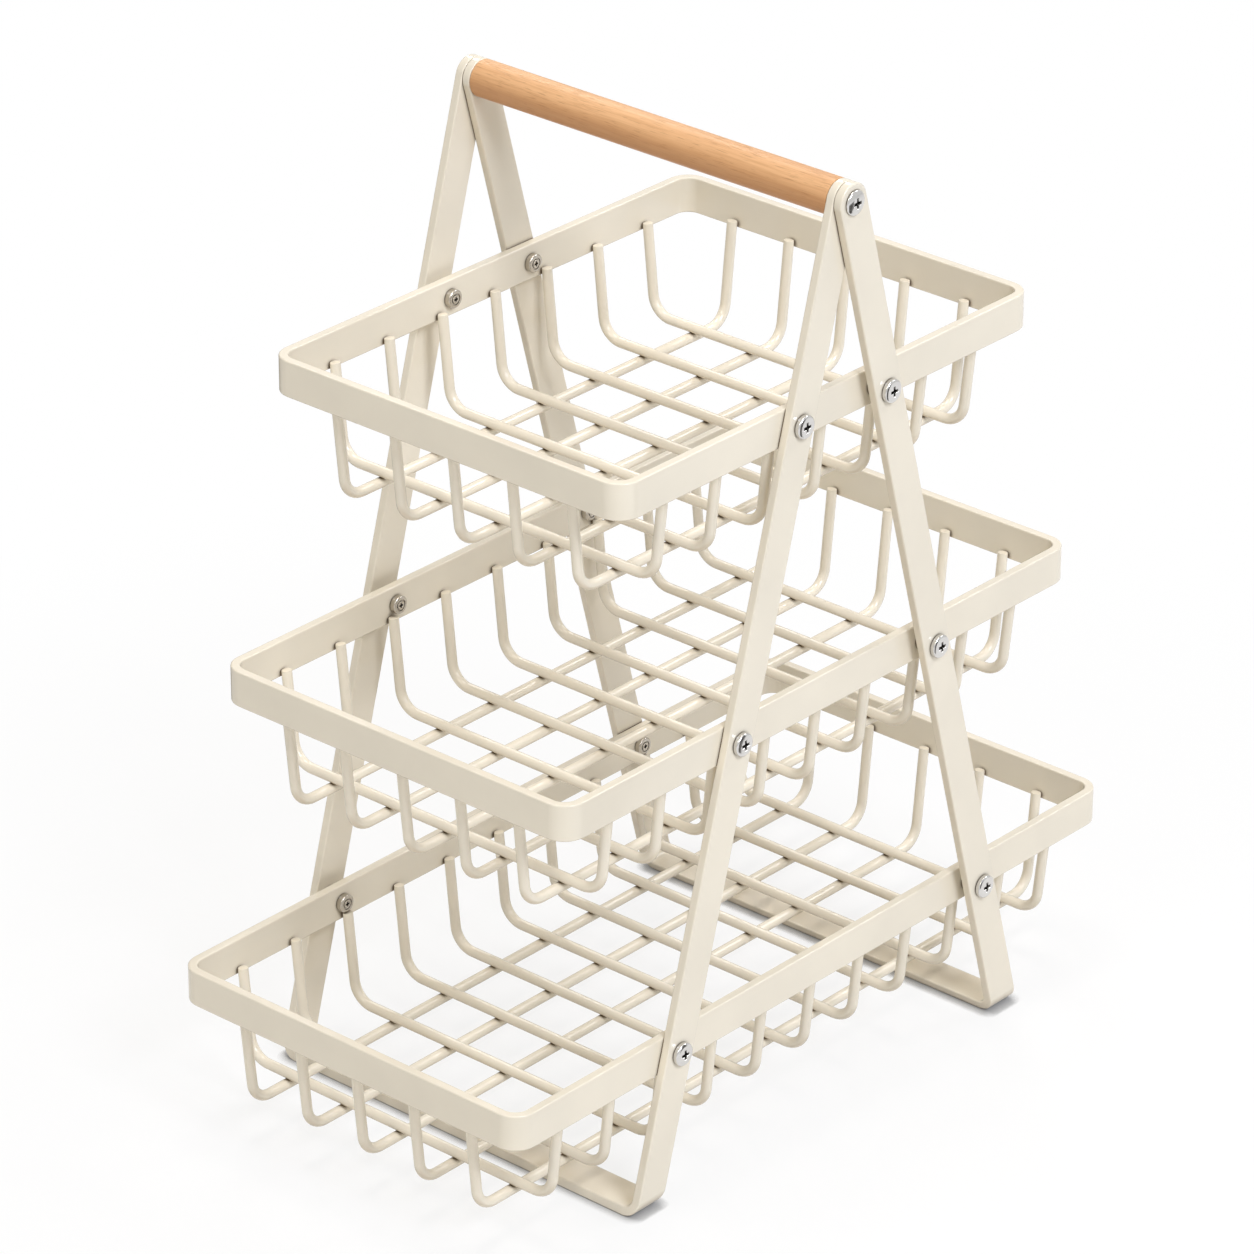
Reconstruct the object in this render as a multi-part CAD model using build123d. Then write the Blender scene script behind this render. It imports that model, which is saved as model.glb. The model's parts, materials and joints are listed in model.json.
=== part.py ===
from build123d import *
import math
import os

os.makedirs("parts", exist_ok=True)

# Stock: flat bar for the legs and rims, round wire for the baskets, a wooden dowel for the handle
BAR_WIDTH = 16.0
BAR_THICKNESS = 4.0
WIRE_DIAMETER = 4.5
HANDLE_DIAMETER = 16.0

# Stand: two flat bars bent to a U, crossed at the handle
HANDLE_HEIGHT = 410.0
LEG_LEAN = 15.5
LEG_BEND_RADIUS = 8.0

# Baskets: one width, three lengths, with the height of each rim's upper edge
BASKET_WIDTH = 188.0
BASKETS = {
    "top": {"length": 255.0, "height": 329.5, "cross_wires": 7},
    "middle": {"length": 318.5, "height": 202.5, "cross_wires": 9},
    "bottom": {"length": 377.0, "height": 75.5, "cross_wires": 11},
}
RIM_CORNER_RADIUS = 10.0
BASKET_DEPTH = 60.0
LONG_WIRES = 5

# Wires: how far each end laps up the inside of the rim, how the uprights lean in, and the bends
WIRE_LAP = 3.7
WIRE_LEAN = 6.0
WIRE_BEND_RADIUS = 10.0

# Basket joints: a threaded post from outside takes an M4 pan-head screw from inside the rim
POST_HEAD_DIAMETER = 10.0
POST_HEAD_HEIGHT = 2.8
POST_DIAMETER = 5.0
POST_GAP = 0.5
POST_BORE_DEPTH = 6.5
SCREW_HEAD_DIAMETER = 8.0
SCREW_HEAD_HEIGHT = 3.1
SCREW_DIAMETER = 4.0
SCREW_LENGTH = 6.0
SPACER_DIAMETER = 9.0
HOLE_DIAMETER = 5.4

# Handle joints: an M5 screw passes both eyes into a threaded insert in the handle's end
HANDLE_HEAD_DIAMETER = 10.6
HANDLE_HEAD_HEIGHT = 2.0
HANDLE_SCREW_DIAMETER = 5.0
INSERT_DIAMETER = 8.0
INSERT_LENGTH = 12.0
SOCKET_DEPTH = 16.0

# The many repeated wires and the small fasteners are drawn with few flat sides
WIRE_SIDES = 8
WIRE_BEND_STEPS = 3
HEAD_SIDES = 12
SHANK_SIDES = 6

# Places that follow from the sizes above
LEAN = math.radians(LEG_LEAN)
RIM_FACE = BASKET_WIDTH / 2
INNER_LEG_FACE = RIM_FACE + BAR_THICKNESS
OUTER_LEG_FACE = INNER_LEG_FACE + BAR_THICKNESS
FRAME_WIDTH = 2 * INNER_LEG_FACE + BAR_THICKNESS


def leg_offset(height):
    """Distance of a leg's middle line from the centre plane at a height above the floor."""
    return (HANDLE_HEIGHT - height) * math.tan(LEAN)


def rim_middle(basket):
    """Height of the middle of a rim, where its four posts pass."""
    return basket["height"] - BAR_WIDTH / 2


def drill(x, z):
    """Round hole along Y through the whole stand."""
    return Pos(x, 0, z) * Rot(90, 0, 0) * Cylinder(HOLE_DIAMETER / 2, 2 * BASKET_WIDTH)


def facing(side):
    """Turns a piece's +Z to point out of the stand on one side, -1 near and 1 far."""
    return Rot(-90 * side, 0, 0)


def leg_frame():
    """Bar bent to a U with a flat foot: both legs lean towards -X and end in drilled round eyes."""
    top = HANDLE_HEIGHT + BAR_WIDTH
    outer = Pos(0, top / 2) * Rectangle(FRAME_WIDTH, top)
    outer = fillet(outer.vertices().group_by(Axis.Y)[0], LEG_BEND_RADIUS)
    inner = Pos(0, top / 2 + BAR_THICKNESS) * Rectangle(FRAME_WIDTH - 2 * BAR_THICKNESS, top)
    inner = fillet(inner.vertices().group_by(Axis.Y)[0], LEG_BEND_RADIUS - BAR_THICKNESS)
    channel = extrude(Plane.YZ * (outer - inner), HANDLE_HEIGHT, both=True)

    leg_length = HANDLE_HEIGHT / math.cos(LEAN) + BAR_WIDTH
    strip = Pos(0, -leg_length / 2) * Rot(0, 0, 90) * SlotCenterToCenter(leg_length, BAR_WIDTH)
    strip = Pos(0, HANDLE_HEIGHT) * Rot(0, 0, -LEG_LEAN) * strip
    bar = channel & extrude(Plane.XZ * strip, FRAME_WIDTH, both=True)

    bar -= drill(0, HANDLE_HEIGHT)
    for basket in BASKETS.values():
        height = rim_middle(basket)
        bar -= drill(-leg_offset(height), height)
    return Pos(0, BAR_THICKNESS / 2, 0) * bar


def rim(basket):
    """Flat bar on edge, closed to a rectangle with round corners, drilled for its four posts."""
    length = basket["length"]
    hollow = 2 * BAR_THICKNESS
    band = RectangleRounded(length, BASKET_WIDTH, RIM_CORNER_RADIUS)
    band -= RectangleRounded(length - hollow, BASKET_WIDTH - hollow, RIM_CORNER_RADIUS - BAR_THICKNESS)
    band = Pos(0, 0, basket["height"] - BAR_WIDTH) * extrude(band, BAR_WIDTH)
    height = rim_middle(basket)
    for side in (-1, 1):
        band -= drill(side * leg_offset(height), height)
    return band


def bent_wire(span, height, depth):
    """Wire bent to a U in the XZ plane: both ends touch the rim's inner face, the middle is flat."""
    lean = math.radians(WIRE_LEAN)
    end = span / 2 - BAR_THICKNESS - WIRE_DIAMETER / 2 * math.cos(lean)
    end_height = height - BAR_WIDTH + WIRE_LAP
    floor_height = height - depth + WIRE_DIAMETER / 2
    corner = end - (end_height - floor_height) * math.tan(lean)

    # A bend turns in equal steps round its own centre, between the floor and the upright
    turn = math.pi / 2 - lean
    centre_x = corner - WIRE_BEND_RADIUS * math.tan(turn / 2)
    centre_height = floor_height + WIRE_BEND_RADIUS
    reach = WIRE_BEND_RADIUS / math.cos(turn / WIRE_BEND_STEPS / 2)
    right = [(end, end_height)]
    for step in reversed(range(WIRE_BEND_STEPS)):
        angle = turn * (step + 0.5) / WIRE_BEND_STEPS
        right.append((centre_x + reach * math.sin(angle), centre_height - reach * math.cos(angle)))
    left = [(-x, z) for x, z in reversed(right)]
    path = Polyline(*[(x, 0, z) for x, z in right + left])
    section = RegularPolygon(WIRE_DIAMETER / 2, WIRE_SIDES, major_radius=False, rotation=180 / WIRE_SIDES)
    return sweep(Plane(origin=path @ 0, z_dir=path % 0) * section, path=path, transition=Transition.RIGHT)


def head(diameter):
    """Outline of a screw head or ring."""
    return RegularPolygon(diameter / 2, HEAD_SIDES)


def shank(diameter):
    """Outline of a shank or of the bore that takes it."""
    return RegularPolygon(diameter / 2, SHANK_SIDES)


def screw(head_diameter, head_height, diameter, length):
    """Screw with its head standing on Z 0 and its shank below."""
    return extrude(head(head_diameter), head_height) + extrude(shank(diameter), -length)


def post(grip):
    """Headed post for a joint of one grip, bored from its end for the screw."""
    length = grip - POST_GAP
    body = screw(POST_HEAD_DIAMETER, POST_HEAD_HEIGHT, POST_DIAMETER, length)
    return body - Pos(0, 0, -length) * extrude(shank(SCREW_DIAMETER), POST_BORE_DEPTH)


def ring(outer, inner, length):
    """Plain ring standing on Z 0."""
    return extrude(head(outer) - shank(inner), length)


def handle():
    """Dowel between the inner eyes, with a socket for the insert in each end."""
    dowel = Cylinder(HANDLE_DIAMETER / 2, BASKET_WIDTH)
    socket = extrude(head(INSERT_DIAMETER), SOCKET_DEPTH / 2, both=True)
    for side in (-1, 1):
        dowel -= Pos(0, 0, side * (BASKET_WIDTH - SOCKET_DEPTH) / 2) * socket
    return Pos(0, 0, HANDLE_HEIGHT) * facing(1) * dowel


def leg_joints(basket):
    """The four leg joints of a basket: side of the stand, place along X and gap from rim to leg."""
    offset = leg_offset(rim_middle(basket))
    for side in (-1, 1):
        yield side, side * offset, 0.0
        yield side, -side * offset, BAR_THICKNESS


pieces = {
    "left_leg_frame": leg_frame(),
    "right_leg_frame": Rot(0, 0, 180) * leg_frame(),
    "handle": handle(),
}

# Each end of the handle holds a threaded insert, and one screw passes both eyes into it
inserts = []
handle_screws = []
for side in (-1, 1):
    insert = facing(side) * ring(INSERT_DIAMETER, HANDLE_SCREW_DIAMETER, -INSERT_LENGTH)
    inserts.append(Pos(0, side * RIM_FACE, HANDLE_HEIGHT) * insert)
    reach = 2 * BAR_THICKNESS + INSERT_LENGTH
    handle_screw = screw(HANDLE_HEAD_DIAMETER, HANDLE_HEAD_HEIGHT, HANDLE_SCREW_DIAMETER, reach)
    handle_screws.append(Pos(0, side * OUTER_LEG_FACE, HANDLE_HEIGHT) * facing(side) * handle_screw)
pieces["handle_inserts"] = Compound(children=inserts)
pieces["handle_screws"] = Compound(children=handle_screws)

for name, basket in BASKETS.items():
    length = basket["length"]
    height = basket["height"]
    pieces[f"{name}_rim"] = rim(basket)

    # Long wires lie lowest, cross wires rest on them
    spacing = BASKET_WIDTH / (LONG_WIRES + 1)
    long_wire = bent_wire(length, height, BASKET_DEPTH)
    for index in range(LONG_WIRES):
        place = (index - (LONG_WIRES - 1) / 2) * spacing
        pieces[f"{name}_long_wire_{index + 1}"] = Pos(0, place, 0) * long_wire
    count = basket["cross_wires"]
    spacing = length / (count + 1)
    cross_wire = Rot(0, 0, 90) * bent_wire(BASKET_WIDTH, height, BASKET_DEPTH - WIRE_DIAMETER)
    for index in range(count):
        place = (index - (count - 1) / 2) * spacing
        pieces[f"{name}_cross_wire_{index + 1}"] = Pos(place, 0, 0) * cross_wire

    # Where the outer leg stands off the rim, a spacer fills the gap round the post
    posts = []
    screws = []
    spacers = []
    for side, x, gap in leg_joints(basket):
        z = rim_middle(basket)
        seat = Pos(x, side * (INNER_LEG_FACE + gap), z)
        posts.append(seat * facing(side) * post(2 * BAR_THICKNESS + gap))
        rim_screw = screw(SCREW_HEAD_DIAMETER, SCREW_HEAD_HEIGHT, SCREW_DIAMETER, SCREW_LENGTH)
        screws.append(Pos(x, side * (RIM_FACE - BAR_THICKNESS), z) * facing(-side) * rim_screw)
        if gap:
            spacer = facing(side) * ring(SPACER_DIAMETER, HOLE_DIAMETER, gap)
            spacers.append(Pos(x, side * RIM_FACE, z) * spacer)
    pieces[f"{name}_posts"] = Compound(children=posts)
    pieces[f"{name}_screws"] = Compound(children=screws)
    pieces[f"{name}_spacers"] = Compound(children=spacers)

for node, shape in pieces.items():
    export_step(shape, f"parts/{node}.step")
print(len(pieces), "nodes")
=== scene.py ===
"""Tiered wire basket: round wires, eased bar edges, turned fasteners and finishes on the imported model."""

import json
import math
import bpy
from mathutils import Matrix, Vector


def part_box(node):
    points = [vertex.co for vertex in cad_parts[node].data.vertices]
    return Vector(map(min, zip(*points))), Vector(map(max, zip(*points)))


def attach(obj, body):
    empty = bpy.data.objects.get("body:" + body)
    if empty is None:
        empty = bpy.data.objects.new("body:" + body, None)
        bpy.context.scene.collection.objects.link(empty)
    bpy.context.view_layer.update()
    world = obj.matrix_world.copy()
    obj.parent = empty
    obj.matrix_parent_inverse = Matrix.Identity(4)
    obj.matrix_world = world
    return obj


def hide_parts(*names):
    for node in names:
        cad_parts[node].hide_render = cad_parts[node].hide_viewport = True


bl_info = {
    "name": "Tiered Wire Basket",
    "version": (1, 0, 0),
    "blender": (4, 5, 0),
    "location": "View3D > Sidebar > Wire Basket",
    "description": "Builds the looks of a tiered wire basket on its packed model",
    "category": "Object",
}

import bmesh
import bpy
from bpy.props import FloatProperty, FloatVectorProperty, IntProperty, PointerProperty
from mathutils import Matrix, Vector

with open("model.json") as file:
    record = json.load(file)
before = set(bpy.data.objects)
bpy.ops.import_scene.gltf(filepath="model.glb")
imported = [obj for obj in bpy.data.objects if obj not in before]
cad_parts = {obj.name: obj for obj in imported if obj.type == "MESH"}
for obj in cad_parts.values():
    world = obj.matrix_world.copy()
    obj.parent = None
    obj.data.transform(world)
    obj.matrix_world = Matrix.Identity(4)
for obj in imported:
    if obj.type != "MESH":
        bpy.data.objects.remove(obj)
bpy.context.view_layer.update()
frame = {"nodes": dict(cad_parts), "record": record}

SLOT_COLOURS = {slot["slot"]: slot["base_color"] for slot in frame["record"]["materials"]}
TIERS = ("top", "middle", "bottom")
IMAGE_SIZE = 1254

# Meshes: the distance within which points merge, the angle that shades as an edge, and the steps round
# a turned piece, round the handle and along a wire's bend
MERGE_DISTANCE = 1e-6
SHARP_ANGLE = math.radians(35)
TURNED_STEPS = 36
HANDLE_STEPS = 64
BEND_STEPS = 10

# Plating: lowest roughness, and how much a cloudy sheen adds to it
CHROME_SHEEN = (0.10, 0.10)
NICKEL_SHEEN = (0.15, 0.14)
BRASS_SHEEN = (0.22, 0.12)

# Soft boxes: name, place, size, power and colour
SOFT_BOXES = (
    ("front_box", (-0.8, -3.0, 3.0), 1.4, 106.0, (0.867, 0.905, 1.0)),
    ("right_box", (2.7, -1.2, 2.9), 0.9, 25.0, (0.95, 0.97, 1.0)),
    ("left_box", (-3.0, -0.2, 2.8), 1.4, 29.0, (1.0, 0.955, 0.84)),
    ("top_box", (0.2, 0.4, 4.0), 1.4, 57.0, (1.0, 0.94, 0.89)),
    ("back_box", (1.94, 2.36, 2.78), 0.9, 15.0, (1.0, 0.98, 0.95)),
)
LIGHTS_AIM = (0.0, 0.0, 0.2)

# Cards: name, place, width and height
CARDS = (
    ("card_near", (0.04, -0.30, 0.18), 0.16, 0.36),
    ("card_far", (-0.04, 0.30, 0.18), 0.16, 0.36),
)


def length_property(name, description, default):
    """A size in metres that a user may change."""
    return FloatProperty(name=name, description=description, default=default, unit="LENGTH",
                         precision=5, min=0.0)


def colour_property(name, description, default):
    """A finish colour that a user may change."""
    return FloatVectorProperty(name=name, description=description, default=default, subtype="COLOR",
                               size=3, min=0.0, max=1.0)


class BasketSizes(bpy.types.PropertyGroup):
    """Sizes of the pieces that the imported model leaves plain."""

    bar_edge: length_property("Bar edge", "Radius along the edges of the flat bars", 0.0007)
    bar_thickness: length_property("Bar thickness", "Thickness of the flat bars", 0.004)
    wire_bend: length_property("Wire bend", "Radius of a wire's middle line in its bends", 0.010)
    wire_lean: FloatProperty(name="Wire lean", description="How far the upright wires lean inwards",
                             default=math.radians(6.0), subtype="ANGLE")
    wire_sides: IntProperty(name="Wire sides", description="Flat sides round a wire", default=20, min=8)
    wire_end: length_property("Wire end", "Chamfer round the cut ends of a wire", 0.0004)
    post_head: length_property("Post head", "Diameter of a post's head", 0.010)
    post_head_height: length_property("Post head height", "Height of a post's head", 0.0028)
    post_shank: length_property("Post shank", "Diameter of a post", 0.005)
    post_gap: length_property("Post gap", "How much shorter a post is than what it clamps", 0.0005)
    post_bore: length_property("Post bore", "Depth of the threaded bore in a post", 0.0065)
    screw_head: length_property("Screw head", "Diameter of a rim screw's head", 0.008)
    screw_head_height: length_property("Screw head height", "Height of a rim screw's head", 0.0031)
    screw_shank: length_property("Screw shank", "Diameter of a rim screw", 0.004)
    screw_length: length_property("Screw length", "Length of a rim screw under its head", 0.006)
    spacer_outside: length_property("Spacer", "Outside diameter of a spacer", 0.009)
    spacer_hole: length_property("Spacer hole", "Diameter of the hole in a spacer", 0.0054)
    handle_head: length_property("Handle screw head", "Diameter of a handle screw's head", 0.0106)
    handle_head_height: length_property("Handle screw head height", "Height of a handle screw's head", 0.002)
    handle_shank: length_property("Handle screw shank", "Diameter of a handle screw", 0.005)
    insert_outside: length_property("Insert", "Outside diameter of a threaded insert", 0.008)
    insert_length: length_property("Insert length", "Length of a threaded insert", 0.012)
    socket_depth: length_property("Socket depth", "Depth of the socket in each end of the handle", 0.016)


class BasketColours(bpy.types.PropertyGroup):
    """Colours of the finishes."""

    coat: colour_property("Coat", "Powder coat on the bars and wires", (0.82, 0.752, 0.62))
    # Painted shade: a darker coat colour that is mixed onto faces that look down, standing in for the shade
    # under them
    coat_shade_below: colour_property("Coat below", "Powder coat on faces that look down", (0.50, 0.385, 0.245))
    # Painted shade: dark brown that is mixed into the coat beside touching pieces, standing in for contact
    # shadow
    coat_crevice_shade: colour_property("Coat crevice", "Powder coat beside a touching piece", (0.13, 0.072, 0.026))
    beech: colour_property("Beech", "Light wood between the grain lines", (0.85, 0.515, 0.268))
    beech_grain: colour_property("Beech grain", "Darker wood in the grain lines", (0.55, 0.255, 0.095))
    # Painted shade: deep brown that is mixed onto the lower part of the handle, standing in for the shade
    # under it
    beech_shade_below: colour_property("Beech below", "Deep wood low on the handle", (0.52, 0.228, 0.076))
    # Painted shade: near black that is mixed into the plating inside recesses and beside touching pieces
    metal_recess_shade: colour_property("Metal crevice", "Plating inside recesses", (0.03, 0.028, 0.025))
    chrome: colour_property("Chrome", "Bright plating on the posts and handle screws", (0.70, 0.69, 0.675))
    nickel: colour_property("Nickel", "Grey plating on the rim screws and spacers", (0.56, 0.52, 0.46))
    brass: colour_property("Brass", "Threaded inserts in the handle", SLOT_COLOURS["insert"])
    floor: colour_property("Floor", "Pale floor under the stand", (0.86, 0.86, 0.86))


# Shader maths


class Signal:
    """A shader socket on which Python's operators add Math nodes."""

    def __init__(self, finish, socket):
        self.finish = finish
        self.socket = socket

    def math(self, operation, *values):
        return self.finish.node("ShaderNodeMath", {"operation": operation}, dict(enumerate(values)))

    def __add__(self, other):
        return self.math("ADD", self, other)

    def __sub__(self, other):
        return self.math("SUBTRACT", self, other)

    def __rsub__(self, other):
        return self.math("SUBTRACT", other, self)

    def __mul__(self, other):
        return self.math("MULTIPLY", self, other)

    __radd__ = __add__
    __rmul__ = __mul__


class Finish:
    """A material under construction, with its principled shader and its object coordinates."""

    def __init__(self, name, colour):
        self.material = bpy.data.materials.new(name)
        self.material.use_nodes = True
        self.material.diffuse_color = (*colour, 1.0)
        self.tree = self.material.node_tree
        self.shader = self.tree.nodes["Principled BSDF"]
        self.place = self.node("ShaderNodeTexCoord", output="Object")

    def node(self, kind, settings=None, sockets=None, output=0):
        """Adds a node: its settings first, then values or links into its sockets."""
        node = self.tree.nodes.new(kind)
        for key, value in (settings or {}).items():
            if key == "stops":
                self.ramp_stops(node.color_ramp, value)
            else:
                setattr(node, key, value)
        for key, value in (sockets or {}).items():
            self.feed(node.inputs[key], value)
        return Signal(self, node.outputs[output])

    def feed(self, target, value):
        """Links a signal to a socket, or sets the socket's own value."""
        if isinstance(value, Signal):
            self.tree.links.new(value.socket, target)
        else:
            target.default_value = value

    def ramp_stops(self, ramp, stops):
        """Gives a ramp its stops, each a position and a grey level."""
        ramp.elements[0].position = stops[0][0]
        ramp.elements[-1].position = stops[-1][0]
        for position, _ in stops[1:-1]:
            ramp.elements.new(position)
        for element, (_, level) in zip(ramp.elements, stops):
            element.color = (level, level, level, 1.0)

    def stretched(self, scale):
        """Object coordinates stretched along each axis."""
        return self.node("ShaderNodeMapping", {}, {"Vector": self.place, "Scale": scale})

    def noise(self, scale, detail=2.0, roughness=0.5, distortion=0.0, vector=None):
        """Noise from 0 to 1 on the object coordinates; scale is in waves per metre."""
        sockets = {"Vector": vector or self.place, "Scale": scale, "Detail": detail,
                   "Roughness": roughness, "Distortion": distortion}
        return self.node("ShaderNodeTexNoise", {}, sockets)

    def ramp(self, value, *stops):
        """Maps a number through grey stops."""
        return self.node("ShaderNodeValToRGB", {"stops": stops}, {"Fac": value})

    def mix(self, factor, first, second):
        """Mixes two colours."""
        sockets = {0: factor, 6: first, 7: second}
        return self.node("ShaderNodeMix", {"data_type": "RGBA"}, sockets, output=2)

    def bump(self, height, depth, below=None):
        """Bump of a height signal, depth in metres."""
        sockets = {"Height": height, "Distance": depth, "Strength": 1.0}
        if below:
            sockets["Normal"] = below
        return self.node("ShaderNodeBump", {}, sockets)

    def crevice(self, reach, samples, *stops):
        """Mask for painted shade in the narrow places beside a touching piece and inside recesses, by how
        open they are.
        """
        openness = self.node("ShaderNodeAmbientOcclusion", {"samples": samples}, {"Distance": reach},
                             output="AO")
        return self.ramp(openness, *stops)

    def up(self, vector):
        """Upward part of a vector."""
        return self.node("ShaderNodeSeparateXYZ", {}, {"Vector": vector}, output="Z")

    def downward_shade_mask(self, *stops):
        """Mask for painted shade by the way that a face looks: 0 on its ramp is straight down, 0.5 level and
        1 straight up.
        """
        normal = self.node("ShaderNodeNewGeometry", output="Normal")
        return self.ramp(self.up(normal) * 0.5 + 0.5, *stops)

    def shade(self, **sockets):
        """Feeds the principled shader; an underscore in a name stands for a space."""
        for key, value in sockets.items():
            self.feed(self.shader.inputs[key.replace("_", " ")], value)


def tint(colour, factor):
    """A colour made lighter or darker, with the alpha that a colour socket needs."""
    return (*(min(1.0, channel * factor) for channel in colour), 1.0)


def coat_finish(name, colours):
    """Semi-gloss powder coat with a fine orange peel and a faint cloudiness, with painted shade below and in
    crevices.
    """
    finish = Finish(name, colours.coat)
    cloud = finish.noise(22.0, detail=3.0)
    peel = finish.noise(780.0, detail=1.0)
    flow = finish.noise(190.0, detail=2.0)
    speck = finish.ramp(finish.noise(2600.0, detail=1.0), (0.0, 0.0), (0.70, 0.0), (0.78, 1.0))
    cloudy = finish.ramp(cloud, (0.30, 0.0), (0.70, 1.0))
    body = finish.mix(cloudy, tint(colours.coat, 0.955), tint(colours.coat, 1.03))
    body = finish.mix(speck * 0.25, body, tint(colours.coat, 0.86))
    # Painted shade: faces that look down are darkened towards the coat's shade colour
    under = finish.downward_shade_mask((0.0, 1.0), (0.30, 0.85), (0.46, 0.0))
    body = finish.mix(under * 0.45, body, tint(colours.coat_shade_below, 1.0))
    # Painted shade: the coat darkens beside touching pieces and in narrow gaps, standing in for contact
    # shadow
    crevice = finish.crevice(0.0026, 8, (0.0, 1.0), (0.36, 0.80), (0.54, 0.25), (0.78, 0.0))
    body = finish.mix(crevice * 0.94, body, tint(colours.coat_crevice_shade, 1.0))
    peeled = finish.bump(peel, 0.000012)
    finish.shade(
        Base_Color=body,
        Roughness=0.10 + 0.08 * cloud + 0.06 * flow,
        Specular_IOR_Level=0.6,
        Normal=finish.bump(flow, 0.00003, below=peeled),
    )
    return finish.material


def beech_finish(name, colours, bottom, top):
    """Oiled beech with its grain along the handle, fine flecks and open pores, and painted shade on its lower
    part.
    """
    finish = Finish(name, colours.beech)
    along = finish.stretched((1.0, 0.028, 1.0))
    fine_along = finish.stretched((1.0, 0.06, 1.0))
    warp = finish.noise(60.0, detail=2.0, vector=along)
    bands = finish.noise(300.0, detail=4.0, roughness=0.55, distortion=0.3, vector=along)
    fibre = finish.noise(1500.0, detail=3.0, roughness=0.6, vector=along)
    pore = finish.noise(2300.0, detail=1.0, vector=fine_along)
    fleck = finish.ramp(pore, (0.0, 0.0), (0.60, 0.0), (0.70, 1.0))
    grain = finish.ramp(bands * 0.55 + warp * 0.45, (0.0, 0.0), (0.42, 0.10), (0.52, 0.45), (0.62, 1.0))
    streak = finish.ramp(fibre, (0.0, 0.0), (0.44, 0.08), (0.56, 0.55), (0.68, 1.0))
    body = finish.mix(grain * 0.62, tint(colours.beech, 1.03), tint(colours.beech_grain, 1.0))
    body = finish.mix(streak * 0.36, body, tint(colours.beech_grain, 0.92))
    body = finish.mix(fleck * 0.38, body, tint(colours.beech_grain, 0.60))
    # Painted shade: the wood darkens towards the bottom of the handle
    level = (finish.up(finish.place) - bottom) * (1.0 / (top - bottom))
    below = finish.ramp(level, (0.0, 1.0), (0.19, 0.95), (0.37, 0.70), (0.60, 0.52), (0.79, 0.19),
                        (0.90, 0.0))
    body = finish.mix(below, body, tint(colours.beech_shade_below, 1.0))
    fibres = finish.bump(fibre, 0.00003)
    finish.shade(
        Base_Color=body,
        Roughness=0.33 + 0.14 * fibre + 0.10 * fleck,
        Specular_IOR_Level=0.42,
        Normal=finish.bump(1.0 - fleck, 0.00004, below=fibres),
    )
    return finish.material


def plated_finish(name, colour, recess_shade_colour, sheen):
    """Plated metal with faint polishing marks, small pits, a cloudy sheen and painted shade in its recesses.
    """
    finish = Finish(name, colour)
    roughness, spread = sheen
    cloud = finish.noise(420.0, detail=2.0)
    marks = finish.noise(2600.0, detail=2.0, vector=finish.stretched((1.0, 1.0, 0.12)))
    pit = finish.ramp(finish.noise(1900.0, detail=1.0), (0.0, 0.0), (0.68, 0.0), (0.76, 1.0))
    body = finish.mix(cloud, tint(colour, 0.93), tint(colour, 1.04))
    body = finish.mix(pit * 0.3, body, tint(colour, 0.6))
    # Painted shade: the plating darkens inside recesses and beside touching pieces
    crevice = finish.crevice(0.0012, 8, (0.0, 1.0), (0.45, 0.85), (0.70, 0.25), (0.92, 0.0))
    body = finish.mix(crevice * 0.9, body, tint(recess_shade_colour, 1.0))
    scored = finish.bump(marks, 0.000004)
    finish.shade(
        Base_Color=body,
        Metallic=1.0,
        Roughness=roughness + spread * cloud + 0.08 * pit,
        Normal=finish.bump(1.0 - pit, 0.00001, below=scored),
    )
    return finish.material


# Mesh helpers


def new_edges(made):
    """The edges of an operator's result whose two ends are both new."""
    verts = {item for item in made if isinstance(item, bmesh.types.BMVert)}
    return [item for item in made if isinstance(item, bmesh.types.BMEdge) and verts.issuperset(item.verts)]


def pull(bm, edges, way):
    """Extrudes a loop of edges along a vector and gives the loop at its far end."""
    made = bmesh.ops.extrude_edge_only(bm, edges=edges)["geom"]
    verts = [item for item in made if isinstance(item, bmesh.types.BMVert)]
    bmesh.ops.translate(bm, verts=verts, vec=way)
    return new_edges(made)


def turn(bm, edges, centre, axis, angle, steps):
    """Sweeps a loop of edges round a bend and gives the loop at its far end."""
    verts = list({vert for edge in edges for vert in edge.verts})
    made = bmesh.ops.spin(bm, geom=verts + edges, cent=centre, axis=axis, angle=angle, steps=steps,
                          use_merge=False)
    return new_edges(made["geom_last"])


def lathe(bm, outline, steps):
    """Turns an outline of (radius, height) points round the Z axis."""
    verts = [bm.verts.new((radius, 0.0, height)) for radius, height in outline]
    edges = [bm.edges.new(pair) for pair in zip(verts, verts[1:])]
    bmesh.ops.spin(bm, geom=verts + edges, cent=(0, 0, 0), axis=(0, 0, 1), angle=math.tau, steps=steps,
                   use_merge=True)
    bmesh.ops.remove_doubles(bm, verts=bm.verts, dist=MERGE_DISTANCE)


def open_edges(bm):
    """Edges that carry one face only."""
    return [edge for edge in bm.edges if edge.is_boundary]


def close(bm):
    """Merges doubles, fills open loops and points the faces outwards."""
    bmesh.ops.remove_doubles(bm, verts=bm.verts, dist=MERGE_DISTANCE)
    bmesh.ops.holes_fill(bm, edges=open_edges(bm), sides=0)
    bmesh.ops.recalc_face_normals(bm, faces=bm.faces)


def new_object(name, bm, material):
    """Turns a bmesh into an object of one material."""
    mesh = bpy.data.meshes.new(name)
    bm.to_mesh(mesh)
    bm.free()
    mesh.materials.append(material)
    item = bpy.data.objects.new(name, mesh)
    bpy.context.scene.collection.objects.link(item)
    return item


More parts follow.
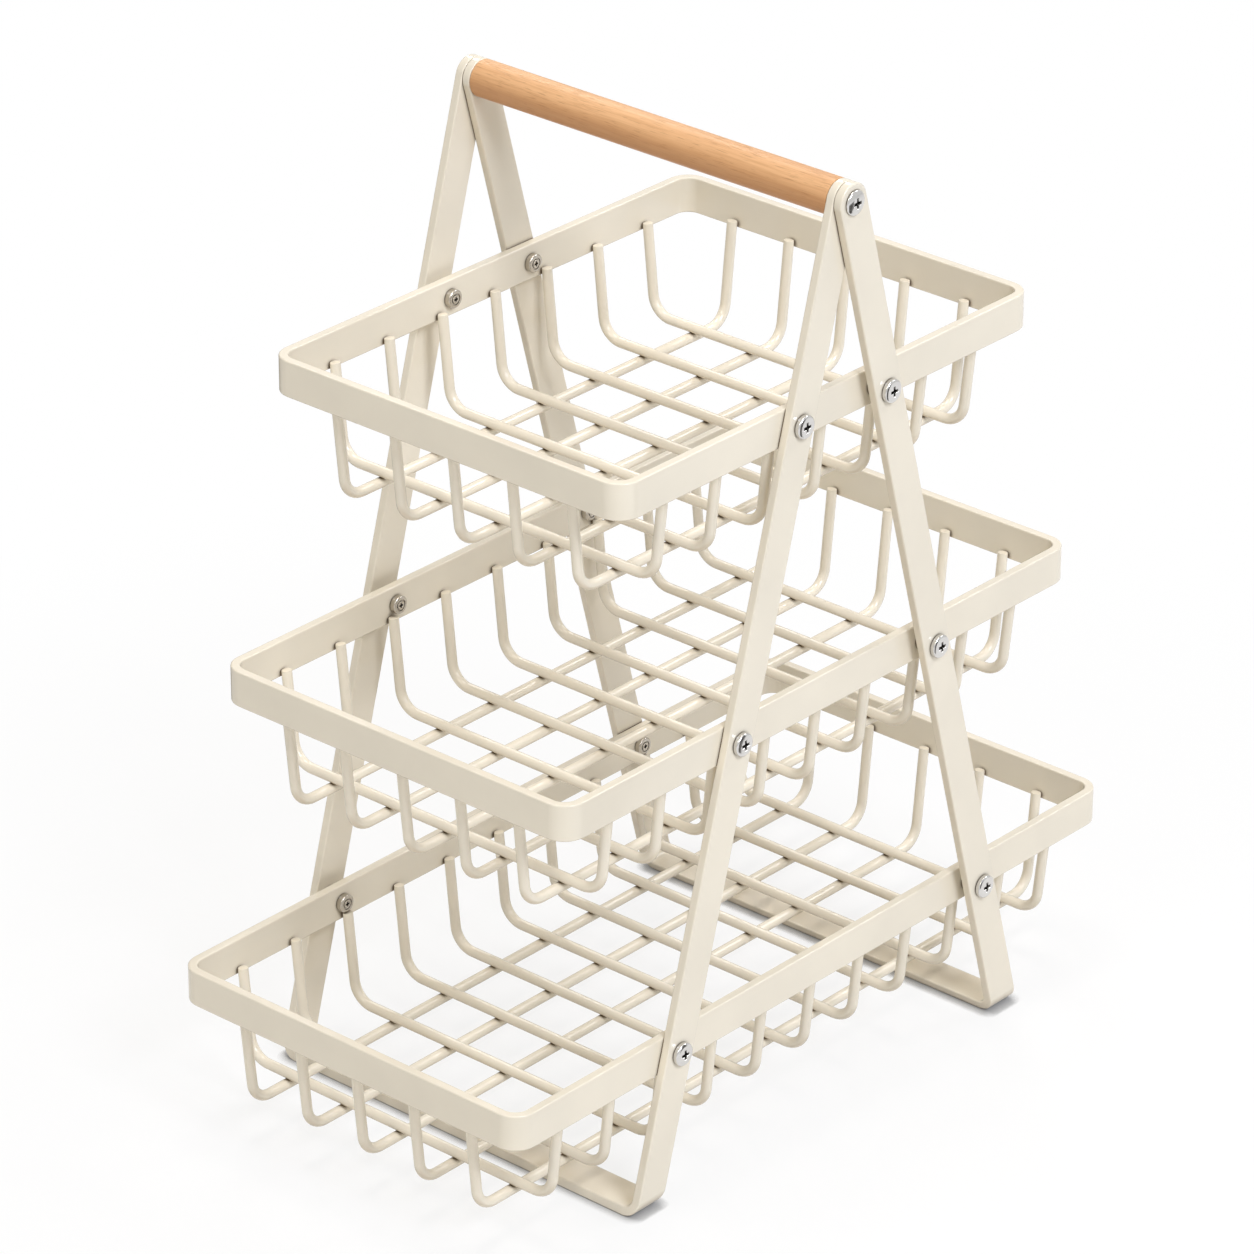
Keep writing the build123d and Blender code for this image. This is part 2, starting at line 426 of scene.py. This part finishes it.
def finish_piece(name, bm, material, nodes):
    """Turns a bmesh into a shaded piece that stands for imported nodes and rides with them."""
    piece = new_object(name, bm, material)
    piece.data.shade_smooth()
    piece.data.set_sharp_from_angle(angle=SHARP_ANGLE)
    weighted = piece.modifiers.new("even_shading", "WEIGHTED_NORMAL")
    weighted.keep_sharp = True
    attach(piece, "root")
    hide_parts(*nodes)
    return piece


def shared_material(name, build, *values):
    """A finish by name, built from its values the first time that it is asked for."""
    return bpy.data.materials.get(name) or build(name, *values)


def coat(colours):
    """Finish of the bars and wires."""
    return shared_material("powder_coat", coat_finish, colours)


def chrome(colours):
    """Finish of the posts and handle screws."""
    return shared_material("bright_chrome", plated_finish, colours.chrome, colours.metal_recess_shade,
                           CHROME_SHEEN)


def nickel(colours):
    """Finish of the rim screws and spacers."""
    return shared_material("grey_nickel", plated_finish, colours.nickel, colours.metal_recess_shade,
                           NICKEL_SHEEN)


def brass(colours):
    """Finish of the threaded inserts."""
    return shared_material("turned_brass", plated_finish, colours.brass, colours.metal_recess_shade,
                           BRASS_SHEEN)


def seated(form, place, side):
    """Moves a turned piece to its place, with its +Z out of the stand on one side, -1 near and 1 far."""
    facing = Matrix.Rotation(math.radians(-90 * side), 4, "X")
    bmesh.ops.transform(form, matrix=Matrix.Translation(place) @ facing, verts=form.verts)
    return form


def leg_joints(tier, sizes):
    """The four leg joints of a basket: side, place along X, height and gap between rim and leg."""
    low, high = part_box(f"{tier}_screws")
    offset = high.x - sizes.screw_head / 2
    height = (low.z + high.z) / 2
    for side in (-1, 1):
        yield side, side * offset, height, 0.0
        yield side, -side * offset, height, sizes.bar_thickness


def rim_face(tier):
    """Distance of a rim's outer long face from the middle of the stand."""
    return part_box(f"{tier}_rim")[1].y


# Flat bars


def eased_bar(node, edge_radius):
    """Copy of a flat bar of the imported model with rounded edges."""
    flat_within = math.radians(0.5)
    corner_from = math.radians(40)
    bm = bmesh.new()
    bm.from_mesh(frame["nodes"][node].data)
    bmesh.ops.remove_doubles(bm, verts=bm.verts, dist=2 * MERGE_DISTANCE)
    bmesh.ops.dissolve_limit(bm, angle_limit=flat_within, verts=bm.verts, edges=bm.edges)
    sharp = [edge for edge in bm.edges if edge.calc_face_angle(0.0) > corner_from]
    bmesh.ops.bevel(bm, geom=sharp, offset=edge_radius, offset_type="OFFSET", affect="EDGES", segments=3,
                    profile=0.5, material=-1, loop_slide=False, clamp_overlap=False)
    return bm


class WIREBASKET_OT_leg_frames(bpy.types.Operator):
    """Rounds the edges of the two leg frames"""

    bl_idname = "wirebasket.leg_frames"
    bl_label = "Leg Frames"

    def execute(self, context):
        finish = coat(context.scene.basket_colours)
        for side in ("left", "right"):
            node = f"{side}_leg_frame"
            bm = eased_bar(node, context.scene.basket_sizes.bar_edge)
            finish_piece(f"{side}_legs", bm, finish, [node])
        return {"FINISHED"}


class WIREBASKET_OT_rims(bpy.types.Operator):
    """Rounds the edges of the three rims"""

    bl_idname = "wirebasket.rims"
    bl_label = "Rims"

    def execute(self, context):
        finish = coat(context.scene.basket_colours)
        for tier in TIERS:
            bm = eased_bar(f"{tier}_rim", context.scene.basket_sizes.bar_edge)
            finish_piece(f"{tier}_band", bm, finish, [f"{tier}_rim"])
        return {"FINISHED"}


# Round wires


def bent_wire(half_span, top, low, radius, sizes):
    """Round wire in the XZ plane: down one upright, along the floor of the basket and up the other."""
    lean = sizes.wire_lean
    bend = sizes.wire_bend
    end = half_span - radius * math.cos(lean)
    end_height = top - radius * math.sin(lean)
    floor = low + radius
    sweep = math.pi / 2 - lean
    drop = end_height - floor
    corner = end - drop * math.tan(lean)
    tangent = bend * math.tan(sweep / 2)
    upright = drop / math.cos(lean) - tangent
    run = 2 * (corner - tangent)

    bm = bmesh.new()
    bmesh.ops.create_circle(bm, segments=sizes.wire_sides, radius=radius,
                            matrix=Matrix.Translation((-end, 0, end_height)) @ Matrix.Rotation(-lean, 4, "Y"))
    loop = pull(bm, bm.edges[:], Vector((math.sin(lean), 0, -math.cos(lean))) * upright)
    loop = turn(bm, loop, (tangent - corner, 0, floor + bend), (0, 1, 0), -sweep, BEND_STEPS)
    loop = pull(bm, loop, Vector((run, 0, 0)))
    loop = turn(bm, loop, (corner - tangent, 0, floor + bend), (0, 1, 0), -sweep, BEND_STEPS)
    pull(bm, loop, Vector((math.sin(lean), 0, math.cos(lean))) * upright)
    rims = open_edges(bm)
    close(bm)
    bmesh.ops.bevel(bm, geom=rims, offset=sizes.wire_end, offset_type="OFFSET", affect="EDGES", segments=2,
                    profile=0.5, material=-1)
    return bm


class WIREBASKET_OT_wires(bpy.types.Operator):
    """Builds the long and cross wires of the three baskets as round wire"""

    bl_idname = "wirebasket.wires"
    bl_label = "Wires"

    def execute(self, context):
        sizes = context.scene.basket_sizes
        finish = coat(context.scene.basket_colours)
        for node in frame["nodes"]:
            if "_wire_" not in node:
                continue
            low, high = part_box(node)
            middle = (low + high) / 2
            span = high - low
            heading = 0.0
            if "_cross_" in node:
                span = span.yxz
                heading = math.pi / 2
            bm = bent_wire(span.x / 2, high.z, low.z, span.y / 2, sizes)
            place = Matrix.Translation((middle.x, middle.y, 0)) @ Matrix.Rotation(heading, 4, "Z")
            bmesh.ops.transform(bm, matrix=place, verts=bm.verts)
            finish_piece(node.replace("_wire_", "_round_"), bm, finish, [node])
        return {"FINISHED"}


# Fasteners


def cross_recess(bm, height, span, arm, depth):
    """Closes a head's open ring with a face that has a tapered cross recess."""
    corner_pull = 0.68
    lip = 0.06 * arm
    lip_depth = 0.08 * arm
    taper = 0.20 * arm
    ring = open_edges(bm)
    grid = bmesh.ops.create_grid(bm, x_segments=3, y_segments=3, size=span / 2,
                                 matrix=Matrix.Translation((0, 0, height)))["verts"]
    for vert in grid:
        if min(abs(vert.co.x), abs(vert.co.y)) > span / 4:
            vert.co.xy = vert.co.xy * corner_pull
        for axis in (0, 1):
            if abs(vert.co[axis]) < span / 4:
                vert.co[axis] = math.copysign(arm / 2, vert.co[axis])
    faces = list({face for vert in grid for face in vert.link_faces})
    outline = [edge for edge in {edge for face in faces for edge in face.edges} if edge.is_boundary]
    bmesh.ops.bridge_loops(bm, edges=ring + outline)
    centres = {face: face.calc_center_median() for face in faces}
    cross = [face for face, centre in centres.items() if min(abs(centre.x), abs(centre.y)) < arm / 4]
    bmesh.ops.recalc_face_normals(bm, faces=bm.faces)
    bmesh.ops.inset_region(bm, faces=cross, thickness=lip, depth=-lip_depth, use_even_offset=True)
    bmesh.ops.inset_region(bm, faces=cross, thickness=taper, depth=-depth, use_even_offset=True)


def headed_shank(outline, **recess):
    """A turned piece from its outline, closed by a cross recess of some height, span, arm and depth."""
    bm = bmesh.new()
    lathe(bm, outline, TURNED_STEPS)
    cross_recess(bm, **recess)
    bmesh.ops.recalc_face_normals(bm, faces=bm.faces)
    return bm


def post_form(grip, sizes):
    """Post with a cylindrical skirt, a domed face and a bore from its far end."""
    head = sizes.post_head / 2
    height = sizes.post_head_height
    shank = sizes.post_shank / 2
    bore = sizes.screw_shank / 2
    length = grip - sizes.post_gap
    tip_height = 0.0003
    tip_inset = 0.0002
    outline = [
        (head * 0.52, height * 0.995), (head * 0.68, height * 0.980), (head * 0.80, height * 0.950),
        (head * 0.88, height * 0.905), (head * 0.94, height * 0.840), (head * 0.98, height * 0.760),
        (head, height * 0.66), (head, height * 0.17), (head * 0.93, 0.0), (shank, 0.0),
        (shank, tip_height - length), (shank - tip_inset, -length),
        (bore, -length), (bore, sizes.post_bore - length), (0.0, sizes.post_bore - length),
    ]
    return headed_shank(outline, height=height, span=0.0046, arm=0.0015, depth=0.0015)


def screw_form(sizes):
    """Screw with a tall flat head, a turned groove in its face and a small cross recess."""
    head = sizes.screw_head / 2
    height = sizes.screw_head_height
    shank = sizes.screw_shank / 2
    tip = 0.0004
    outline = [
        (head * 0.40, height), (head * 0.46, height * 0.99), (head * 0.50, height * 0.87),
        (head * 0.60, height * 0.87), (head * 0.64, height * 0.975), (head * 0.82, height * 0.965),
        (head * 0.90, height * 0.93), (head * 0.97, height * 0.86), (head, height * 0.78),
        (head, height * 0.13), (head * 0.93, 0.0),
        (shank, 0.0), (shank, tip - sizes.screw_length), (shank - tip, -sizes.screw_length),
        (0.0, -sizes.screw_length),
    ]
    return headed_shank(outline, height=height, span=0.0024, arm=0.0009, depth=0.0012)


def handle_screw_form(reach, sizes):
    """Screw with a low domed head."""
    head = sizes.handle_head / 2
    height = sizes.handle_head_height
    shank = sizes.handle_shank / 2
    tip = 0.0005
    outline = [
        (head * 0.52, height * 0.965), (head * 0.66, height * 0.895), (head * 0.78, height * 0.800),
        (head * 0.88, height * 0.680), (head * 0.95, height * 0.560), (head * 0.99, height * 0.44),
        (head, height * 0.33), (head, height * 0.20), (head * 0.93, 0.0), (shank, 0.0), (shank, tip - reach),
        (shank - tip, -reach), (0.0, -reach),
    ]
    return headed_shank(outline, height=height, span=0.0048, arm=0.0015, depth=0.0015)


def ring_form(outside, hole, length):
    """Plain turned ring on Z 0 with chamfered edges."""
    outer = outside / 2
    inner = hole / 2
    edge = 0.0003
    outline = [(inner, edge), (inner + edge, 0.0), (outer - edge, 0.0), (outer, edge), (outer, length - edge),
               (outer - edge, length), (inner + edge, length), (inner, length - edge), (inner, edge)]
    bm = bmesh.new()
    lathe(bm, outline, TURNED_STEPS)
    bmesh.ops.recalc_face_normals(bm, faces=bm.faces)
    return bm


def gathered(forms):
    """Joins seated bmeshes into one."""
    whole = bmesh.new()
    for form in forms:
        mesh = bpy.data.meshes.new("part_of_a_group")
        form.to_mesh(mesh)
        form.free()
        whole.from_mesh(mesh)
        bpy.data.meshes.remove(mesh)
    return whole


class WIREBASKET_OT_posts(bpy.types.Operator):
    """Builds the headed posts that hold the rims to the legs"""

    bl_idname = "wirebasket.posts"
    bl_label = "Posts"

    def execute(self, context):
        sizes = context.scene.basket_sizes
        finish = chrome(context.scene.basket_colours)
        for tier in TIERS:
            forms = []
            for side, x, height, gap in leg_joints(tier, sizes):
                seat = (x, side * (rim_face(tier) + sizes.bar_thickness + gap), height)
                forms.append(seated(post_form(2 * sizes.bar_thickness + gap, sizes), seat, side))
            finish_piece(f"{tier}_headed_posts", gathered(forms), finish, [f"{tier}_posts"])
        return {"FINISHED"}


class WIREBASKET_OT_rim_screws(bpy.types.Operator):
    """Builds the pan-head screws inside the rims"""

    bl_idname = "wirebasket.rim_screws"
    bl_label = "Rim Screws"

    def execute(self, context):
        sizes = context.scene.basket_sizes
        finish = nickel(context.scene.basket_colours)
        for tier in TIERS:
            forms = []
            for side, x, height, _ in leg_joints(tier, sizes):
                seat = (x, side * (rim_face(tier) - sizes.bar_thickness), height)
                forms.append(seated(screw_form(sizes), seat, -side))
            finish_piece(f"{tier}_pan_screws", gathered(forms), finish, [f"{tier}_screws"])
        return {"FINISHED"}


class WIREBASKET_OT_spacers(bpy.types.Operator):
    """Builds the spacers where the outer leg stands off the rim"""

    bl_idname = "wirebasket.spacers"
    bl_label = "Spacers"

    def execute(self, context):
        sizes = context.scene.basket_sizes
        finish = nickel(context.scene.basket_colours)
        for tier in TIERS:
            forms = []
            for side, x, height, gap in leg_joints(tier, sizes):
                if not gap:
                    continue
                form = ring_form(sizes.spacer_outside, sizes.spacer_hole, gap)
                forms.append(seated(form, (x, side * rim_face(tier), height), side))
            finish_piece(f"{tier}_rings", gathered(forms), finish, [f"{tier}_spacers"])
        return {"FINISHED"}


# Handle


class WIREBASKET_OT_handle(bpy.types.Operator):
    """Turns the wooden handle with its two sockets"""

    bl_idname = "wirebasket.handle"
    bl_label = "Handle"

    def execute(self, context):
        sizes = context.scene.basket_sizes
        colours = context.scene.basket_colours
        low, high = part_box("handle")
        radius = (high.z - low.z) / 2
        half = (high.y - low.y) / 2
        socket = sizes.insert_outside / 2
        socket_end = half - sizes.socket_depth
        socket_edge = 0.0003
        end_round = 0.0005
        round_middle = 0.00015
        half_outline = [
            (0.0, socket_end), (socket, socket_end), (socket, half - socket_edge),
            (socket + socket_edge, half), (radius - end_round, half),
            (radius - round_middle, half - round_middle), (radius, half - end_round),
        ]
        outline = half_outline + [(r, -z) for r, z in reversed(half_outline)]
        bm = bmesh.new()
        lathe(bm, outline, HANDLE_STEPS)
        bmesh.ops.recalc_face_normals(bm, faces=bm.faces)
        dowel = seated(bm, (0, 0, (high.z + low.z) / 2), 1)
        wood = shared_material("oiled_beech", beech_finish, colours, low.z, high.z)
        finish_piece("dowel_handle", dowel, wood, ["handle"])
        return {"FINISHED"}


class WIREBASKET_OT_handle_fixings(bpy.types.Operator):
    """Builds the two handle screws and the threaded inserts that take them"""

    bl_idname = "wirebasket.handle_fixings"
    bl_label = "Handle Fixings"

    def execute(self, context):
        sizes = context.scene.basket_sizes
        colours = context.scene.basket_colours
        low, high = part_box("handle")
        height = (high.z + low.z) / 2
        screws = []
        inserts = []
        for side in (-1, 1):
            screw = handle_screw_form(2 * sizes.bar_thickness + sizes.insert_length, sizes)
            screws.append(seated(screw, (0, side * (high.y + 2 * sizes.bar_thickness), height), side))
            insert = ring_form(sizes.insert_outside, sizes.handle_shank, sizes.insert_length)
            inserts.append(seated(insert, (0, side * (high.y - sizes.insert_length), height), side))
        finish_piece("domed_handle_screws", gathered(screws), chrome(colours), ["handle_screws"])
        finish_piece("threaded_inserts", gathered(inserts), brass(colours), ["handle_inserts"])
        return {"FINISHED"}


# Stage


def floor_finish(name, colour):
    """Pale floor that fades to white away from the stand, has a painted contact shadow beside the feet and
    keeps the shadow.
    """
    finish = Finish(name, colour)
    grain = finish.noise(90.0, detail=3.0)
    # Painted shadow: the floor's colour darkens close beside the feet
    beside = finish.crevice(0.005, 4, (0.0, 0.12), (0.50, 0.12), (0.75, 0.25), (1.0, 1.0))
    body = finish.mix(grain, tint(colour, 0.99), tint(colour, 1.0))
    finish.shade(Base_Color=finish.mix(beside, tint(colour, 0.42), body), Roughness=0.9)
    path = finish.tree.nodes.new("ShaderNodeLightPath")
    camera, glossy, through = (Signal(finish, path.outputs[f"Is {kind} Ray"])
                               for kind in ("Camera", "Glossy", "Transmission"))
    distance = finish.node("ShaderNodeVectorMath", {"operation": "LENGTH"}, {0: finish.place}, output="Value")
    white = finish.ramp(distance, (0.0, 0.77), (0.22, 0.79), (0.55, 1.0))
    # The painted contact shadow also holds back the white glow beside the feet
    seen = white * beside * camera + 0.30 * (glossy + through)
    glow = finish.node("ShaderNodeEmission", {}, {"Color": (1.0, 1.0, 1.0, 1.0), "Strength": 1.0})
    shader = Signal(finish, finish.shader.outputs["BSDF"])
    mixed = finish.node("ShaderNodeMixShader", {}, {0: seen, 1: shader, 2: glow})
    finish.tree.links.new(mixed.socket, finish.tree.nodes["Material Output"].inputs["Surface"])
    return finish.material


def card_finish(name):
    """Matt grey card with a faint paper grain."""
    finish = Finish(name, (0.17, 0.17, 0.17))
    body = finish.mix(finish.noise(120.0), (0.15, 0.15, 0.15, 1.0), (0.20, 0.20, 0.20, 1.0))
    finish.shade(Base_Color=body, Roughness=0.9)
    return finish.material


def soft_light(name, place, size, power, colour):
    """A square soft box aimed at the middle of the stand."""
    lamp = bpy.data.lights.new(name, "AREA")
    lamp.shape = "SQUARE"
    lamp.size = size
    lamp.energy = power
    lamp.color = colour
    box = bpy.data.objects.new(name, lamp)
    box.location = place
    box.rotation_euler = (Vector(LIGHTS_AIM) - Vector(place)).to_track_quat("-Z", "Y").to_euler()
    bpy.context.scene.collection.objects.link(box)


def dark_card(name, place, width, height):
    """An upright grey card that shows only in mirror-like metal, as beside shiny parts in a studio."""
    bm = bmesh.new()
    bmesh.ops.create_grid(bm, x_segments=1, y_segments=1, size=0.5)
    upright = Matrix.Rotation(math.pi / 2, 4, "X") @ Matrix.Diagonal((width, height, 1.0, 1.0))
    bmesh.ops.transform(bm, matrix=Matrix.Translation(place) @ upright, verts=bm.verts)
    card = new_object(name, bm, shared_material("dark_card", card_finish))
    card.visible_camera = False
    card.visible_diffuse = False
    card.visible_shadow = False
    card.visible_transmission = False


def white_world():
    """World that is white where it is seen, nearly so in mirrors, and a plain soft fill light elsewhere."""
    fill_strength = 0.22
    mirrored_share = 0.75
    world = bpy.data.worlds.new("white_studio")
    world.use_nodes = True
    tree = world.node_tree
    white = tree.nodes["Background"]
    white.inputs["Color"].default_value = (1.0, 1.0, 1.0, 1.0)
    fill = tree.nodes.new("ShaderNodeBackground")
    fill.inputs["Color"].default_value = (1.0, 0.98, 0.93, 1.0)
    fill.inputs["Strength"].default_value = fill_strength
    path = tree.nodes.new("ShaderNodeLightPath")
    seen = tree.nodes.new("ShaderNodeMath")
    seen.operation = "MULTIPLY_ADD"
    tree.links.new(path.outputs["Is Glossy Ray"], seen.inputs[0])
    seen.inputs[1].default_value = mirrored_share
    tree.links.new(path.outputs["Is Camera Ray"], seen.inputs[2])
    mixed = tree.nodes.new("ShaderNodeMixShader")
    tree.links.new(seen.outputs[0], mixed.inputs[0])
    tree.links.new(fill.outputs[0], mixed.inputs[1])
    tree.links.new(white.outputs[0], mixed.inputs[2])
    tree.links.new(mixed.outputs[0], tree.nodes["World Output"].inputs["Surface"])
    return world


def photo_camera():
    """Camera at the photograph's angle, with its lens and its middle point in pixels of the photograph."""
    azimuth = math.radians(-48.789)
    elevation = math.radians(26.372)
    roll = math.radians(0.208)
    stand_middle = Vector((0, 0, 0.21406))
    moved_left = 0.00948
    moved_down = 0.00528
    distance = 2.6447
    focal_pixels = 6423.16
    middle_x = 631.11
    middle_y = 590.0
    back = Vector((math.sin(azimuth) * math.cos(elevation), -math.cos(azimuth) * math.cos(elevation),
                   math.sin(elevation)))
    right = Vector((math.cos(azimuth), math.sin(azimuth), 0.0))
    up = back.cross(right)
    centre = stand_middle - right * moved_left - up * moved_down + back * distance
    turned_right = right * math.cos(roll) + up * math.sin(roll)
    turned_up = up * math.cos(roll) - right * math.sin(roll)
    lens = bpy.data.cameras.new("photo_camera")
    lens.sensor_width = 36.0
    lens.lens = focal_pixels / IMAGE_SIZE * lens.sensor_width
    lens.shift_x = (IMAGE_SIZE / 2 - middle_x) / IMAGE_SIZE
    lens.shift_y = (middle_y - IMAGE_SIZE / 2) / IMAGE_SIZE
    lens.clip_end = 50.0
    camera = bpy.data.objects.new("photo_camera", lens)
    heading = Matrix((turned_right, turned_up, back)).transposed().to_4x4()
    camera.matrix_world = Matrix.Translation(centre) @ heading
    bpy.context.scene.collection.objects.link(camera)
    bpy.context.scene.camera = camera


class WIREBASKET_OT_stage(bpy.types.Operator):
    """Sets up the floor, the soft lights, the white surroundings and the camera"""

    bl_idname = "wirebasket.stage"
    bl_label = "Stage"

    def execute(self, context):
        bm = bmesh.new()
        bmesh.ops.create_grid(bm, x_segments=1, y_segments=1, size=4.0)
        floor = new_object("floor", bm, floor_finish("pale_floor", context.scene.basket_colours.floor))

        context.scene.world = white_world()
        for box in SOFT_BOXES:
            soft_light(*box)
        for card in CARDS:
            dark_card(*card)
        photo_camera()
        context.scene.view_settings.view_transform = "Standard"
        return {"FINISHED"}


# Panel and registration


class WIREBASKET_PT_panel(bpy.types.Panel):
    """Lists the steps that build the basket"""

    bl_idname = "WIREBASKET_PT_panel"
    bl_label = "Tiered Wire Basket"
    bl_space_type = "VIEW_3D"
    bl_region_type = "UI"
    bl_category = "Wire Basket"

    def draw(self, context):
        for operator in OPERATORS:
            self.layout.operator(operator.bl_idname)
        for group in (context.scene.basket_sizes, context.scene.basket_colours):
            column = self.layout.column()
            for key in group.__annotations__:
                column.prop(group, key)


OPERATORS = (
    WIREBASKET_OT_stage,
    WIREBASKET_OT_leg_frames,
    WIREBASKET_OT_rims,
    WIREBASKET_OT_wires,
    WIREBASKET_OT_posts,
    WIREBASKET_OT_rim_screws,
    WIREBASKET_OT_spacers,
    WIREBASKET_OT_handle,
    WIREBASKET_OT_handle_fixings,
)
CLASSES = (BasketSizes, BasketColours, *OPERATORS, WIREBASKET_PT_panel)


def register():
    """Registers the classes and gives the scene its sizes and colours."""
    for item in CLASSES:
        bpy.utils.register_class(item)
    bpy.types.Scene.basket_sizes = PointerProperty(type=BasketSizes)
    bpy.types.Scene.basket_colours = PointerProperty(type=BasketColours)


def unregister():
    """Takes back what register adds."""
    del bpy.types.Scene.basket_colours
    del bpy.types.Scene.basket_sizes
    for item in reversed(CLASSES):
        bpy.utils.unregister_class(item)


def main():
    """Builds the stage and every piece."""
    register()
    for operator in OPERATORS:
        family, name = operator.bl_idname.split(".")
        getattr(getattr(bpy.ops, family), name)()


if __name__ == "__main__":
    main()
